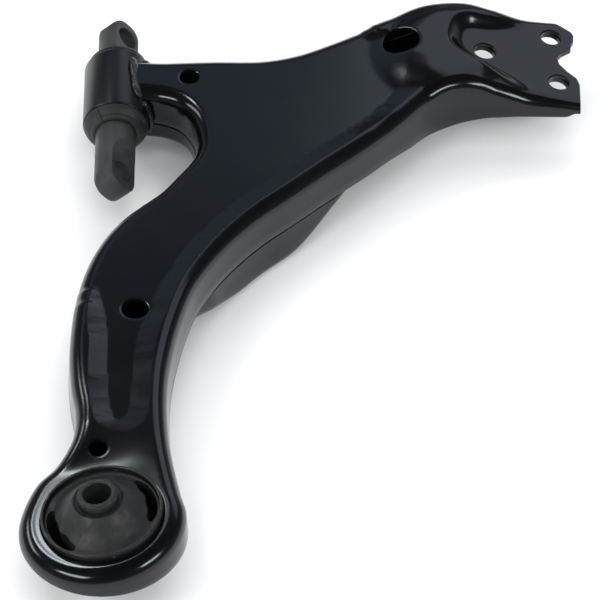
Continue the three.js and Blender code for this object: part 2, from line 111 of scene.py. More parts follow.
# Foot of the slope round the sunk panel.
PANEL_OUTLINE = [
    (186, -8), (176, -24), (162, -42), (132, -68), (109, -90), (87, -110), (72, -127),
    (57, -149), (46, -169), (34, -197), (27, -222), (24, -248), (23, -276), (20, -293),
    (9, -300.5), (-2, -295), (-7, -276), (-8.5, -250), (-9, -222), (-14, -190), (-22, -165),
    (-26, -130), (0, -90), (24, -60), (10, -30), (-10, 0), (10, 40), (100, 40), (150, 44),
    (188, 28)]
# Brow of the pocket that seats the ball joint.
POCKET_OUTLINE = [
    (205.5, 40), (205, 32), (210, 22), (220, 13.5), (235, 5), (255, -6), (285, -20),
    (330, -20), (330, 80), (285, 76), (258, 66), (245, 60), (232, 57.5), (219, 57),
    (209, 51)]
TIP_TRIM = [
    (287.2, -40), (287.2, 9), (285.5, 14.5), (279.5, 20), (275, 25.5), (273.6, 31),
    (276.5, 35.5), (282.4, 40.5), (282.8, 45), (284.4, 48.5), (284.6, 53.5), (283, 56.5),
    (268, 67), (258, 74), (258, 110), (380, 110), (380, -40)]
TIP_SET_BACK = 5.0

# ---- Loops and distances --------------------------------------------------------------


def smooth_loop(points, spacing):
    """Closed centripetal Catmull-Rom curve through the points, evenly spaced."""
    p = np.array(points, float)
    samples = []
    for i in range(len(p)):
        p0, p1, p2, p3 = (p[(i + k - 1) % len(p)] for k in range(4))
        d0, d1, d2 = (max(np.linalg.norm(b - a) ** 0.5, 1e-6)
                      for a, b in ((p0, p1), (p1, p2), (p2, p3)))
        m1 = d1 * ((p1 - p0) / d0 - (p2 - p0) / (d0 + d1) + (p2 - p1) / d1)
        m2 = d1 * ((p2 - p1) / d1 - (p3 - p1) / (d1 + d2) + (p3 - p2) / d2)
        t = np.linspace(0, 1, 24, endpoint=False)[:, None]
        samples.append(p1 + m1 * t + (3 * (p2 - p1) - 2 * m1 - m2) * t ** 2
                       + (2 * (p1 - p2) + m1 + m2) * t ** 3)
    dense = np.concatenate(samples)
    closed = np.vstack([dense, dense[:1]])
    along = np.concatenate([[0], np.cumsum(np.linalg.norm(np.diff(closed, axis=0), axis=1))])
    count = int(round(along[-1] / spacing))
    at = np.arange(count) * along[-1] / count
    return np.stack([np.interp(at, along, closed[:, k]) for k in (0, 1)], 1)


def inward_normals(loop):
    along = np.roll(loop, -1, 0) - np.roll(loop, 1, 0)
    along /= np.linalg.norm(along, axis=1)[:, None]
    return np.stack([-along[:, 1], along[:, 0]], 1)


def depth_inside(loop, x, y):
    """Distance to a closed loop, positive inside it."""
    x, y = np.broadcast_arrays(np.asarray(x, float), np.asarray(y, float))
    shape, x, y = x.shape, x.ravel(), y.ravel()
    a, b = loop, np.roll(loop, -1, 0)
    edge = b - a
    length2 = (edge ** 2).sum(1)
    out = np.empty(len(x))
    for s in range(0, len(x), 4000):
        px, py = x[s:s + 4000, None], y[s:s + 4000, None]
        t = np.clip(((px - a[:, 0]) * edge[:, 0] + (py - a[:, 1]) * edge[:, 1]) / length2, 0, 1)
        d2 = (px - a[:, 0] - t * edge[:, 0]) ** 2 + (py - a[:, 1] - t * edge[:, 1]) ** 2
        crosses = (a[:, 1] > py) != (b[:, 1] > py)
        rise = np.where(np.abs(edge[:, 1]) < 1e-12, 1e-12, edge[:, 1])
        left = px < a[:, 0] + (py - a[:, 1]) * edge[:, 0] / rise
        inside = (crosses & left).sum(1) % 2 == 1
        out[s:s + 4000] = np.sqrt(d2.min(1)) * np.where(inside, 1, -1)
    return out.reshape(shape)


def smoothstep(v, low, high):
    t = np.clip((np.asarray(v, float) - low) / (high - low), 0, 1)
    return t * t * (3 - 2 * t)


def lerp(a, b, t):
    return a + (b - a) * t


def slope(depth, width, corner):
    """0 to 1 over width along a straight slope with rounded ends."""
    def knee(v):
        return np.where(v < -corner, 0, np.where(v > corner, v, (v + corner) ** 2 / (4 * corner)))
    return (knee(depth) - knee(depth - width)) / width


STEP = 2.0
outline = smooth_loop(ARM_OUTLINE, STEP)
outline_normals = inward_normals(outline)
panel_loop = smooth_loop(PANEL_OUTLINE, 1.8)
pocket_loop = smooth_loop(POCKET_OUTLINE, 3.0)

# ---- Surface heights ------------------------------------------------------------------


def plate_height(x):
    return PLATE_Z - PLATE_TILT * (x - PLATE_X)


def eye_blend(y):
    return 1 - smoothstep(y, -332, -292)


def capsule(x, y, a, b):
    """Distance to a segment and the share of the way along it."""
    ax, ay = b[0] - a[0], b[1] - a[1]
    t = np.clip(((x - a[0]) * ax + (y - a[1]) * ay) / (ax * ax + ay * ay), 0, 1)
    return np.hypot(x - a[0] - t * ax, y - a[1] - t * ay), t


def top_height(x, y):
    """Top face of the upper pressing: rim, sunk panel, dome, groove, pocket and eye."""
    x, y = np.asarray(x, float), np.asarray(y, float)
    depth = depth_inside(panel_loop, x, y)
    sunk = (0.38 * slope(depth - 0.2, 1.2, 0.35) + 0.24 * slope(depth - 0.5, 5.0, 0.6)
            + 0.38 * slope(depth - 4.6, 1.2, 0.35))
    panel = lerp(RIM_TOP, WEB_TOP, sunk)
    from_dome = np.hypot(x - 206, (y - 26) * 0.9)
    dome = WEB_TOP + (DOME_TOP - WEB_TOP) * (1 - smoothstep(from_dome, 22, 50))
    blend = np.clip(0.5 + (dome - panel) / 2.4, 0, 1)
    web = lerp(panel, dome, blend) + 0.6 * blend * (1 - blend)
    away, along = capsule(x, y, (182.5, -9.0), (163, -36))
    groove = 1 - smoothstep(away, 0.6, lerp(5.6, 2.2, along))
    web = web - 1.5 * groove * (1 - smoothstep(along, 0.35, 1))
    brow = lerp(web, plate_height(x), smoothstep(x, 214, 262))
    in_pocket = slope(depth_inside(pocket_loop, x, y) - 1.0, POCKET_WALL - 2.5, 2.2)
    seat = lerp(brow, plate_height(x), in_pocket)
    eye = EYE[2] - math.tan(EYE_TILT) * (x - EYE[0])
    z = lerp(seat, eye, eye_blend(y))
    for hx, hy, radius in WEB_HOLES:
        lip = 1 - smoothstep(np.hypot(x - hx, y - hy), radius, radius + 1.5)
        z = z - 0.22 * lip
    return z


def skirt_bottom(x, y):
    """Lower edge of the upper pressing's skirt."""
    root = SKIRT_BOTTOM - 5 * (1 - smoothstep(np.abs(x - 198), 0, 36))
    lip = -4.8 + 5 * smoothstep(x, 278, 288)
    low = lerp(root, lip, smoothstep(x, 225, 250))
    return lerp(low, EYE_SKIRT_BOTTOM, eye_blend(y))


def belly_blend(x, y):
    return 1 - smoothstep(np.hypot(x - 90, y + 119), 16, 74)


def flush_blend(x, y):
    """Where the lower pressing's wall steps out flush with the upper skirt."""
    neck = smoothstep(y, -95, -60) * (1 - smoothstep(x, 55, 85))
    bend = 1 - smoothstep(np.hypot(x - 95, y + 114), 55, 80)
    outer_side = smoothstep(0.68 * x - 0.73 * y, 105, 135)
    return np.maximum(neck, bend * outer_side)


def floor_height(x, y):
    """Underside of the lower pressing, with the belly under the bend."""
    x, y = np.asarray(x, float), np.asarray(y, float)
    base = lerp(-21.5, -3.5, smoothstep(x, 108, 166))
    pan = base - 13.5 * belly_blend(x, y) + 9 * (1 - smoothstep(y, -260, -150))
    nested = plate_height(x) - 2 * SHEET - 0.1
    return lerp(lerp(pan, nested, smoothstep(x, 190, 226)), 3, eye_blend(y))


# ---- Mesh helpers ---------------------------------------------------------------------

pieces = []


def to_row(points):
    return np.asarray(points, float) / 1000 + ORIGIN


def build(name, verts, faces, sharp=40):
    mesh = bpy.data.meshes.new(name)
    mesh.from_pydata(to_row(verts).tolist(), [], [list(map(int, f)) for f in faces])
    mesh.validate()
    mesh.update()
    piece = bpy.data.objects.new(name, mesh)
    bpy.context.scene.collection.objects.link(piece)
    tidy_normals(piece, sharp)
    pieces.append(piece)
    return piece


def tidy_normals(piece, sharp):
    mesh = piece.data
    bm = bmesh.new()
    bm.from_mesh(mesh)
    bmesh.ops.remove_doubles(bm, verts=bm.verts, dist=2e-6)
    bmesh.ops.recalc_face_normals(bm, faces=bm.faces)
    bm.to_mesh(mesh)
    bm.free()
    mesh.shade_smooth()
    mesh.set_sharp_from_angle(angle=math.radians(sharp))


def apply_modifiers(piece, sharp=40):
    graph = bpy.context.evaluated_depsgraph_get()
    made = bpy.data.meshes.new_from_object(piece.evaluated_get(graph))
    old = piece.data
    piece.modifiers.clear()
    piece.data = made
    bpy.data.meshes.remove(old)
    tidy_normals(piece, sharp)


def cut(piece, verts, faces, sharp=40, operation="DIFFERENCE"):
    """Subtracts a closed shape from a piece, or keeps what the two share."""
    mesh = bpy.data.meshes.new("cutter")
    mesh.from_pydata(to_row(verts).tolist(), [], [list(map(int, f)) for f in faces])
    cutter = bpy.data.objects.new("cutter", mesh)
    bpy.context.scene.collection.objects.link(cutter)
    tidy_normals(cutter, 30)
    boolean = piece.modifiers.new("cut", "BOOLEAN")
    boolean.operation = operation
    boolean.solver = "EXACT"
    boolean.object = cutter
    apply_modifiers(piece, sharp)
    bpy.data.objects.remove(cutter)
    bpy.data.meshes.remove(mesh)


def soften(piece, width, angle=30, segments=3, sharp=40):
    """Rounds a piece's hard edges; width in mm."""
    bevel = piece.modifiers.new("soften", "BEVEL")
    bevel.width = width / 1000
    bevel.segments = segments
    bevel.limit_method = "ANGLE"
    bevel.angle_limit = math.radians(angle)
    bevel.use_clamp_overlap = True
    apply_modifiers(piece, sharp)


def filleted(profile, radius, steps=4):
    """Rounds the corners of a closed profile; a corner's own radius may be its third number."""
    rounded = []
    for i, corner in enumerate(profile):
        p = np.array(corner[:2], float)
        own = corner[2] if len(corner) > 2 else radius
        back = np.array(profile[i - 1][:2]) - p
        ahead = np.array(profile[(i + 1) % len(profile)][:2]) - p
        reach = min(own, np.linalg.norm(back) * 0.45, np.linalg.norm(ahead) * 0.45)
        a = p + back / np.linalg.norm(back) * reach
        b = p + ahead / np.linalg.norm(ahead) * reach
        for k in range(steps + 1):
            t = k / steps
            rounded.append((1 - t) ** 2 * a + 2 * t * (1 - t) * p + t * t * b)
    return np.array(rounded)


def turned(profile, segments):
    """Verts and faces of a body turned about +Z from a closed [radius, height] profile."""
    angles = np.arange(segments) * 2 * math.pi / segments
    n = len(profile)
    verts = [(r * math.cos(a), r * math.sin(a), z) for a in angles for r, z in profile]
    faces = []
    for i in range(segments):
        for j in range(n):
            a, b = i * n + j, i * n + (j + 1) % n
            c, d = ((i + 1) % segments) * n + j, ((i + 1) % segments) * n + (j + 1) % n
            faces.append((a, b, d, c))
    return np.array(verts), faces


def along_y(verts):
    """Lays a shape about +Z along +Y instead."""
    return np.stack([verts[:, 0], verts[:, 2], -verts[:, 1]], 1)


def in_eye(verts):
    c, s = math.cos(EYE_TILT), math.sin(EYE_TILT)
    x, y, z = verts.T
    return np.stack([c * x + s * z, y, -s * x + c * z], 1) + EYE


def prism(loop, low, high):
    loop = np.array(loop, float)
    n = len(loop)
    verts = np.vstack([np.column_stack([loop, np.full(n, low)]),
                       np.column_stack([loop, np.full(n, high)])])
    faces = [tuple(range(n))[::-1], tuple(range(n, 2 * n))]
    faces += [(i, (i + 1) % n, n + (i + 1) % n, n + i) for i in range(n)]
    return verts, faces


def rod(radius, low, high, segments=64):
    angles = np.arange(segments) * 2 * math.pi / segments
    return prism(np.stack([radius * np.cos(angles), radius * np.sin(angles)], 1), low, high)


# ---- Pressings ------------------------------------------------------------------------


def ring_points(hole, extra, count):
    angles = np.arange(count) * 2 * math.pi / count
    radius = hole[2] + extra
    return np.stack([hole[0] + radius * np.cos(angles), hole[1] + radius * np.sin(angles)], 1)


def crease_rows(loop, depths, region, holes):
    """Lines of equal depth inside a loop, kept off the region's edge, and their edges."""
    normals = inward_normals(loop)
    rows, edges, start = [], [], 0
    for depth in depths:
        row = loop + normals * depth
        ok = np.abs(depth_inside(loop, row[:, 0], row[:, 1]) - depth) < 0.03
        ok &= depth_inside(region, row[:, 0], row[:, 1]) > 0.9
        for hx, hy, radius in holes:
            ok &= np.hypot(row[:, 0] - hx, row[:, 1] - hy) > radius + 3.4
        index = np.cumsum(ok) - 1 + start
        for i in np.nonzero(ok & np.roll(ok, -1))[0]:
            j = (i + 1) % len(row)
            if np.linalg.norm(row[i] - row[j]) > 0.2:
                edges.append((int(index[i]), int(index[j])))
        rows.append(row[ok])
        start += int(ok.sum())
    return np.concatenate(rows), edges


def plan_mesh(region, holes, cell, creases=()):
    """Triangulates a loop with holes. Returns points, triangles, rim and hole-rim indices."""
    points = [region]
    edges = [(i, (i + 1) % len(region)) for i in range(len(region))]
    start = len(region)
    spans = []
    for hole in holes:
        count = int(np.clip(2 * math.pi * hole[2] / 1.1, 32, 120))
        ring = ring_points(hole, 0.45, count)
        points.append(ring)
        edges += [(start + i, start + (i + 1) % count) for i in range(count)]
        spans.append((start, count))
        start += count
        for extra in (0.9, 1.5, 2.3):
            points.append(ring_points(hole, extra, count))
            start += count
    low, high = region.min(0), region.max(0)
    gx, gy = np.meshgrid(np.arange(low[0], high[0], cell), np.arange(low[1], high[1], cell * 0.87))
    gx = gx + (np.arange(gx.shape[0]) % 2)[:, None] * cell / 2
    grid = np.stack([gx.ravel(), gy.ravel()], 1)
    grid = grid[depth_inside(region, grid[:, 0], grid[:, 1]) > cell * 0.55]
    for hx, hy, radius in holes:
        grid = grid[np.hypot(grid[:, 0] - hx, grid[:, 1] - hy) > radius + 3.3]
    for loop, depths in creases:
        depth = depth_inside(loop, grid[:, 0], grid[:, 1])
        grid = grid[(depth < min(depths) - 0.7) | (depth > max(depths) + 0.7)]
        rows, lines = crease_rows(loop, depths, region, holes)
        points.append(rows)
        edges += [(start + i, start + j) for i, j in lines]
        start += len(rows)
    points.append(grid)
    flat = np.concatenate(points)
    made = delaunay_2d_cdt([Vector(p) for p in flat], edges, [], 0, 1e-5)
    verts = np.array([tuple(v) for v in made[0]])
    index_of = {}
    for new, originals in enumerate(made[3]):
        for old in originals:
            index_of[old] = new
    tris = np.array(made[2])
    centre = verts[tris].mean(1)
    keep = depth_inside(region, centre[:, 0], centre[:, 1]) > 0
    for hx, hy, radius in holes:
        keep &= np.hypot(centre[:, 0] - hx, centre[:, 1] - hy) > radius + 0.42
    tris = tris[keep]
    a, b, c = (verts[tris[:, k]] for k in range(3))
    area = (b[:, 0] - a[:, 0]) * (c[:, 1] - a[:, 1]) - (b[:, 1] - a[:, 1]) * (c[:, 0] - a[:, 0])
    tris[area < 0] = tris[area < 0][:, ::-1]
    rim = [index_of[i] for i in range(len(region))]
    hole_rims = [[index_of[s + i] for i in range(n)] for s, n in spans]
    return verts, tris, rim, hole_rims


def pressing(name, loop, inset, holes, height, cell, section, creases=()):
    """Closed sheet: a web of SHEET thickness whose edge runs on round a swept section.

    section(i) gives [inset, z] rows from the web's top edge round to its underside edge."""
    normals = inward_normals(loop)
    region = loop + normals * inset
    flat, tris, rim, hole_rims = plan_mesh(region, holes, cell, creases)
    top = height(flat[:, 0], flat[:, 1])
    e = 0.5
    gx = (height(flat[:, 0] + e, flat[:, 1]) - height(flat[:, 0] - e, flat[:, 1])) / (2 * e)
    gy = (height(flat[:, 0], flat[:, 1] + e) - height(flat[:, 0], flat[:, 1] - e)) / (2 * e)
    drop = SHEET * np.sqrt(1 + gx ** 2 + gy ** 2)
    n = len(flat)
    verts = [np.column_stack([flat, top]), np.column_stack([flat, top - drop])]
    faces = [tuple(t) for t in tris] + [tuple(t[::-1] + n) for t in tris]
    start = 2 * n
    for (hx, hy, radius), ring in zip(holes, hole_rims):
        ring = np.array(ring)
        out = flat[ring] - (hx, hy)
        out /= np.linalg.norm(out, axis=1)[:, None]
        rows = [ring]
        for grow, share, edge in ((0.14, 0, 0.13), (0, 0, 0.45), (0, 1, -0.45), (0.14, 1, -0.13)):
            at = np.array([hx, hy]) + out * (radius + grow)
            z = top[ring] - share * drop[ring] - edge
            verts.append(np.column_stack([at, z]))
            rows.append(start + np.arange(len(ring)))
            start += len(ring)
        rows.append(ring + n)
        for a, b in zip(rows, rows[1:]):
            a2, b2 = np.roll(a, -1), np.roll(b, -1)
            faces += list(zip(a, b, b2, a2))
    sections = [section(i) for i in range(len(loop))]
    rows = [np.array(rim)]
    for j in range(len(sections[0])):
        inset_j = np.array([s[j][0] for s in sections])
        z_j = np.array([s[j][1] for s in sections])
        verts.append(np.column_stack([loop + normals * inset_j[:, None], z_j]))
        rows.append(start + np.arange(len(loop)))
        start += len(loop)
    rows.append(np.array(rim) + n)
    for a, b in zip(rows, rows[1:]):
        a2, b2 = np.roll(a, -1), np.roll(b, -1)
        faces += list(zip(a, b, b2, a2))
    return build(name, np.concatenate(verts), faces)


def arc_rows(centre, radius, start, end, steps):
    """Rows on an arc in [inset, z], by angle from straight up, turning outwards."""
    rows = []
    for k in range(steps + 1):
        a = math.radians(start + (end - start) * k / steps)
        rows.append((centre[0] - radius * math.sin(a), centre[1] + radius * math.cos(a)))
    return rows


WEB_INSET = FOLD + 0.2
fold_at = lerp(FOLD, TIP_FOLD, smoothstep(outline[:, 0], 240, 284))
fold_spot = outline + outline_normals * fold_at[:, None]
fold_top = top_height(fold_spot[:, 0], fold_spot[:, 1])
skirt_low = skirt_bottom(outline[:, 0], outline[:, 1])


def upper_section(i):
    fold, top = fold_at[i], fold_top[i]
    bottom = min(skirt_low[i], top - fold - 1)
    low = top - fold
    lean = DRAFT * (low - bottom)
    inner = fold - SHEET
    rows = arc_rows((fold, low), fold, 4, 90, 9)
    rows += [(-lean * t, lerp(low, bottom + 0.7, t)) for t in (0.33, 0.66, 1.0)]
    rows += [(-lean + 0.2, bottom + 0.2), (-lean + 0.7, bottom)]
    rows += [(SHEET - lean - 0.7, bottom), (SHEET - lean - 0.2, bottom + 0.2)]
    rows += [(SHEET - lean, bottom + 0.7), (SHEET - lean * 0.5, lerp(low, bottom + 0.7, 0.5))]
    rows += arc_rows((fold, low), inner, 90, 4, 5)
    return rows


def tilted_eye_hole(radius, z):
    t = (z - EYE[2]) / math.cos(EYE_TILT)
    return (EYE[0] + t * math.sin(EYE_TILT), EYE[1], radius)


def tube_cutter(radius):
    verts, faces = rod(radius, -60, 60, 96)
    return along_y(verts), faces


CELL = 2.3
panel_rows = (panel_loop, (-1.0, -0.25, 0.1, 0.45, 0.8, 1.15, 1.5, 1.9, 2.7, 3.6, 4.2, 4.55,
                           4.9, 5.25, 5.6, 5.95, 6.3, 7.2))
pocket_rows = (pocket_loop, (-2.2, -1.0, 0.2, 1.4, 2.8, 4.4, 6.0, 7.4, 8.8, 10.2))
eye_bore = tilted_eye_hole(REAR_SHELL_RADIUS + 0.35, EYE[2] - 1.0)
upper = pressing("arm_upper_pressing", outline, WEB_INSET,
                 WEB_HOLES + BALL_JOINT_HOLES + [eye_bore], top_height, CELL, upper_section,
                 creases=(panel_rows, pocket_rows))
cut(upper, *tube_cutter(TUBE_RADIUS + 0.2))
cut(upper, *prism(TIP_TRIM, -60, 60))
# Side view of what is cut from the seat's near lower corner, as [x, z].
corner_x, corner_z = 283.2, 0.2
corner = [(corner_x + TIP_CORNER * math.sin(a), corner_z - TIP_CORNER * math.cos(a))
          for a in np.radians(np.linspace(0, 90, 9))]
corner += [(292, corner_z), (292, -12), (corner_x, -12)]
corner_verts, corner_faces = prism(corner, 2, 22)
cut(upper, corner_verts[:, [0, 2, 1]] * (1, -1, 1), corner_faces)

lower_inset = lerp(SHEET + 0.3, FOLD - 1, smoothstep(outline[:, 0], 196, 222))
lower_loop = outline + outline_normals * lower_inset[:, None]
lower_floor = floor_height(lower_loop[:, 0], lower_loop[:, 1])


def lower_section(i):
    """Wall of the pan, passing into a plain sheet edge under the ball joint seat."""
    x, y = lower_loop[i]
    floor = lower_floor[i]
    seat = float(smoothstep(x, 196, 222))
    rim = float(skirt_bottom(x, y))
    inside = floor + SHEET
    edge = max(rim + 8, inside + 1)
    corner = lerp(min(7, (edge - floor) * 0.45), 0.6, seat)
    flush = float(flush_blend(x, y))
    flare = -(SHEET + 1.2) * flush
    gap = lerp(0.4, 0.06, float(smoothstep(x, 84, 106)) * float(smoothstep(-y, 40, 60)))
    inner_corner = min(inside + corner * 0.6, edge - 0.5)
    joggle_low = min(max(rim - 1.5, inner_corner + 0.1), edge - 0.4)
    joggle = min(max(rim - gap, joggle_low + 0.05), edge - 0.35)
    wall = [(SHEET + corner * 0.6 + flare + 0.8, inside),
            (SHEET + flare + corner * 0.18, inside + corner * 0.18),
            (SHEET + flare, inner_corner), (SHEET + flare, joggle_low), (SHEET, joggle),
            (SHEET, edge - 0.3), (SHEET - 0.4, edge), (0.4, edge), (0, edge - 0.3),
            (0, joggle + 0.02), (flare * 0.8, joggle - 0.02),
            (flare, lerp(joggle, joggle_low, 0.4)), (flare, joggle_low)]
    flat = [(4.4 - 0.5 * k, inside) for k in range(7)] + [(0.4, inside)]
    flat += [(0, inside - 0.3 * k) for k in range(1, 6)]
    rows = [(lerp(a, c, seat), lerp(b, d, seat)) for (a, b), (c, d) in zip(wall, flat)]
    last = rows[-1]
    foot = (flare * (1 - seat), floor + corner)
    rows += [(lerp(last[0], foot[0], t), lerp(last[1], foot[1], t)) for t in (0.33, 0.66)]
    return rows + arc_rows((foot[0] + corner, foot[1]), corner, 90, 180, 6)


collar_hole = tilted_eye_hole(REAR_SHELL_RADIUS + 3.8, 4.5)
lower_rim_inset = lerp(8.0, 5.0, smoothstep(lower_loop[:, 0], 196, 222))[:, None]
lower = pressing("arm_lower_pressing", lower_loop, lower_rim_inset, [collar_hole],
                 lambda x, y: floor_height(x, y) + SHEET, CELL * 1.5, lower_section)
cut(lower, *tube_cutter(TUBE_RADIUS + 0.2))
cut(lower, *prism([(x - TIP_SET_BACK, y) for x, y in TIP_TRIM], -60, 60))
lean_c, lean_s = math.cos(math.atan(PLATE_TILT)), math.sin(math.atan(PLATE_TILT))
for hole_x, hole_y, radius in BALL_JOINT_HOLES:
    verts, faces = rod(radius, -30, 30, 48)
    x, y, z = verts.T
    verts = np.stack([hole_x + x * lean_c + z * lean_s, hole_y + y,
                      plate_height(hole_x) - x * lean_s + z * lean_c], 1)
    cut(lower, verts, faces)

# ---- Front tube, bush and pin ---------------------------------------------------------

TURN = 128

verts, faces = turned(filleted([(TUBE_BORE, -TUBE_HALF), (TUBE_RADIUS, -TUBE_HALF, 1.3),
                                (TUBE_RADIUS, TUBE_HALF, 1.3), (TUBE_BORE, TUBE_HALF)], 0.5), TURN)
tube = build("front_bush_tube", along_y(verts), faces)

sleeve_out, sleeve_in = TUBE_BORE - 0.15, TUBE_BORE - 1.9
flange_low, flange_high, flange_radius = TUBE_HALF + 1.9, TUBE_HALF + 5.2, 18.3
verts, faces = turned(filleted([
    (sleeve_in, -TUBE_HALF + 0.5), (sleeve_out, -TUBE_HALF + 0.5),
    (sleeve_out, flange_low, 0.3), (flange_radius, flange_low, 0.5),
    (flange_radius, flange_high, 1.4), (sleeve_in, flange_high, 0.8)], 0.3), TURN)
bush_sleeve = build("front_bush_flanged_sleeve", along_y(verts), faces)

face = -TUBE_HALF - 0.3
bore = PIN_RADIUS + 0.12
verts, faces = turned(filleted([
    (bore, face - 7.4, 0.5), (bore + 2.2, face - 7.0, 0.8), (bore + 3.2, face - 5.6, 0.5),
    (bore + 4.2, face - 5.4, 0.4), (TUBE_RADIUS - 1.4, face - 2.4, 1.2),
    (TUBE_RADIUS - 0.5, face, 0.3), (sleeve_in - 0.1, face + 0.05, 0.1),
    (sleeve_in - 0.1, flange_high - 1.2, 0.3), (bore + 1.5, flange_high - 0.4, 0.5),
    (bore, flange_high - 0.6, 0.3)], 0.5), TURN)
front_rubber = build("front_bush_rubber_cone", along_y(verts), faces)
# The moulding split: a thin radial cut in the near cone, up and to the left.
split = np.array([[-0.22, 0], [0.22, 0], [0.22, 26], [-0.22, 26]])
verts, faces = prism(split, face - 12, face - 1.2)
turn = math.radians(33)
turn_c, turn_s = math.cos(turn), math.sin(turn)
verts = np.stack([verts[:, 0] * turn_c - verts[:, 1] * turn_s, verts[:, 2],
                  verts[:, 0] * turn_s + verts[:, 1] * turn_c], 1)
cut(front_rubber, verts, faces)


def lay_flat(verts):
    """Turns a shape drawn with its flat facing +Z so that the flat faces the paddle angle."""
    a = math.pi / 2 - PADDLE_ANGLE
    c, s = math.cos(a), math.sin(a)
    x, y, z = verts.T
    return np.stack([c * x + s * z, y, -s * x + c * z], 1)


def pin_piece():
    """Round bar, rounded in plan about each hole, then pressed flat at both ends."""
    nose_share = np.linspace(0, 1, 10)[1:]
    near_end, far_end = NEAR_HOLE_Y - PIN_RADIUS - 0.7, FAR_HOLE_Y + PIN_RADIUS + 0.7
    fall = PIN_RADIUS * (1 - 0.62 * (1 - np.sqrt(1 - nose_share ** 2 * 0.98)))
    profile = [(0.0, near_end)] + [(r, near_end + NOSE_LENGTH * (1 - t))
                                   for r, t in zip(fall[::-1], nose_share[::-1])]
    profile += [(PIN_RADIUS, near_end + NOSE_LENGTH), (PIN_RADIUS, far_end - NOSE_LENGTH)]
    profile += [(r, far_end - NOSE_LENGTH * (1 - t)) for r, t in zip(fall, nose_share)]
    profile += [(0.0, far_end)]
    verts, faces = turned([(max(r, 0.001), y) for r, y in profile], 128)
    pin = build("front_bush_cross_pin", along_y(verts), faces)
    nose = PIN_RADIUS + 0.4
    plan = arc_points((0, FAR_HOLE_Y), nose, 0, 180, 32)
    plan += arc_points((0, NEAR_HOLE_Y), nose, 180, 360, 32)
    blank, blank_faces = prism(plan, -30, 30)
    cut(pin, lay_flat(blank), blank_faces, 30, "INTERSECT")
    flat, clear = PADDLE_THICK / 2, PADDLE_THICK / 2 + 12
    for hole_y, way in ((NEAR_HOLE_Y, -1), (FAR_HOLE_Y, 1)):
        run = hole_y - way * (FLAT_RUN - 4)
        for side in (-1, 1):
            shape = [(run, side * flat), (hole_y + way * 40, side * flat),
                     (hole_y + way * 40, side * clear), (run - way * 13, side * clear),
                     (run - way * 13, side * (PIN_RADIUS + 0.6)), (run - way * 6, side * 9.2)]
            block, block_faces = prism(shape, -25, 25)
            cut(pin, lay_flat(block[:, [2, 0, 1]]), block_faces, 30)
    for y in (NEAR_HOLE_Y, FAR_HOLE_Y):
        bit, bit_faces = rod(PIN_HOLE_RADIUS, -30, 30, 64)
        cut(pin, lay_flat(bit + (0, y, 0)), bit_faces, 30)
    soften(pin, 1.2, 32, 4, 60)
    return pin


pin = pin_piece()

# ---- Welds round the tube -------------------------------------------------------------

rng = np.random.default_rng(7)


def weld(name, points, radius, ripples):
    """Hand-run bead: overlapping ripples of uneven size along a path."""
    path = np.array(points, float)
    count = ripples * 8
    t = np.linspace(0, len(path) - 1, count)
    k = np.arange(len(path))
    line = np.stack([np.interp(t, k, path[:, c]) for c in range(3)], 1)
    for _ in range(6):
        line[1:-1] = (line[:-2] + 2 * line[1:-1] + line[2:]) / 4
    along = np.gradient(line, axis=0)
    along /= np.linalg.norm(along, axis=1)[:, None]
    segments = 24
    angles = np.arange(segments) * 2 * math.pi / segments
    size = np.interp(np.arange(count), np.arange(0, count + 8, 8),
                     rng.uniform(0.70, 1.15, ripples + 1))
    phase = np.arange(count) / 8 % 1
    scallop = 0.93 + 0.09 * np.sqrt(np.clip(1 - (phase * 2 - 1) ** 2, 0, 1))
    ends = np.sqrt(np.clip(1 - (np.abs(np.linspace(-1, 1, count))) ** 9, 0.02, 1))
    verts, faces = [], []
    for i in range(count):
        side = np.cross(along[i], (-line[i][0], 0.0, -line[i][2]))
        side /= np.linalg.norm(side)
        up = np.cross(side, along[i])
        r = radius * size[i] * scallop[i] * ends[i]
        for a in angles:
            wobble = 1 + 0.05 * math.sin(3 * a + i * 0.31) + 0.03 * math.sin(5 * a - i * 0.17)
            verts.append(line[i] + r * wobble * (side * math.cos(a) + 0.8 * up * math.sin(a)))
    for i in range(count - 1):
        for j in range(segments):
            k2 = (j + 1) % segments
            faces.append((i * segments + j, i * segments + k2,
                          (i + 1) * segments + k2, (i + 1) * segments + j))
    faces.append(tuple(range(segments)))
    faces.append(tuple(range((count - 1) * segments, count * segments))[::-1])
    return build(name, verts, faces, 60)


weld_top = weld("front_weld_top", [(9.5, 18, 18.6), (10.8, 10, 19.0), (11, 2, 18.8),
                                   (12, -7, 18.2), (15.5, -14.5, 14.6)], 2.5, 6)
weld_near = weld("front_weld_near", [(16.5, -15.6, 12.8), (18.6, -16.6, 9.4), (21, -16.8, 4),
                                     (22, -17.2, -4), (20.4, -16.8, -12)], 2.2, 5)
weld_far = weld("front_weld_far", [(16.8, 20.2, 13), (20.2, 21, 7), (21.9, 21.2, 0),
                                   (21, 21.2, -8)], 2.7, 8)
weld_bottom = weld("front_weld_bottom", [(6.5, -9, -22.2), (6.2, 0, -22.4), (6.2, 7, -22.4),
                                         (6.6, 13, -22.2)], 2.5, 8)

# ---- Rear bush ------------------------------------------------------------------------

collar_in, collar_out = REAR_SHELL_RADIUS + 0.25, REAR_SHELL_RADIUS + 3.5
verts, faces = turned(filleted([
    (collar_in, COLLAR_BOTTOM), (collar_out, COLLAR_BOTTOM), (collar_out, COLLAR_TOP),
    (collar_in, COLLAR_TOP)], 0.7), TURN)
collar = build("rear_eye_ring", in_eye(verts), faces)

